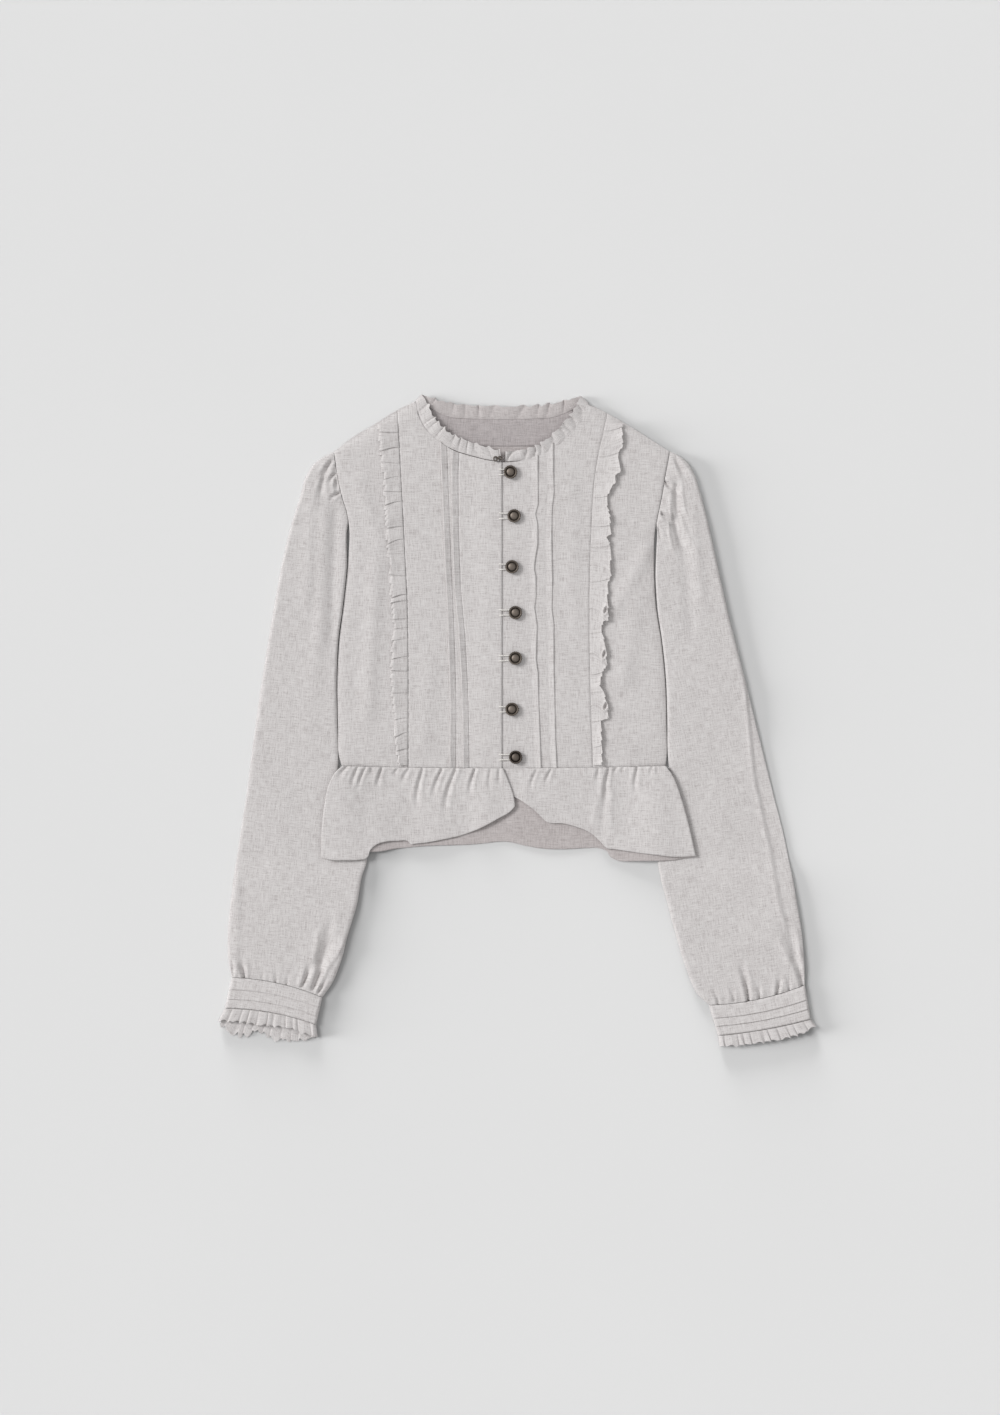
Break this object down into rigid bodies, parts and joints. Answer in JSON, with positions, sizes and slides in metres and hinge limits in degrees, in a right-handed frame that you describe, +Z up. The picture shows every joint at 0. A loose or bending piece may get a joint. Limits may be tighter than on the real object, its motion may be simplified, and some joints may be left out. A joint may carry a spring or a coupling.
{
  "type": "ruffled shirt",
  "caption": "Cropped long-sleeved shirt laid flat, with a ruffled neck, frilled front seams, a buttoned front with loops, and a gathered peplum.",
  "frame": {"origin": "on the table under the middle of the laid-out shirt's bounding box", "axes": "+Y up the shirt towards the neck, +X to the wearer's left, +Z up off the table, out of the shirt's front"},
  "size_m": [0.628, 0.6838, 0.0113],
  "materials": {
    "shirting": "soft heather weave",
    "facing": "soft heather weave",
    "button_metal": "antiqued, dark in the recesses",
    "loop_thread": "twisted thread"
  },
  "bodies": {
    "root": {"back": "shirting", "neck_facing": "facing", "front_centre_right": "shirting", "front_centre_left": "shirting", "front_side_right": "shirting", "front_side_left": "shirting", "frill_right": "shirting", "frill_left": "shirting", "neck_ruffle": "shirting", "peplum_right": "shirting", "peplum_left": "shirting", "peplum_back": "shirting", "sleeve_right": "shirting", "sleeve_left": "shirting", "cuff_right": "shirting", "cuff_left": "shirting", "cuff_ruffle_right": "shirting", "cuff_ruffle_left": "shirting", "button_1": "button_metal", "button_2": "button_metal", "button_3": "button_metal", "button_4": "button_metal", "button_5": "button_metal", "button_6": "button_metal", "button_7": "button_metal", "button_loop_1": "loop_thread", "button_loop_2": "loop_thread", "button_loop_3": "loop_thread", "button_loop_4": "loop_thread", "button_loop_5": "loop_thread", "button_loop_6": "loop_thread", "button_loop_7": "loop_thread", "neck_hook": "button_metal", "neck_eye": "button_metal"}
  },
  "joints": []
}
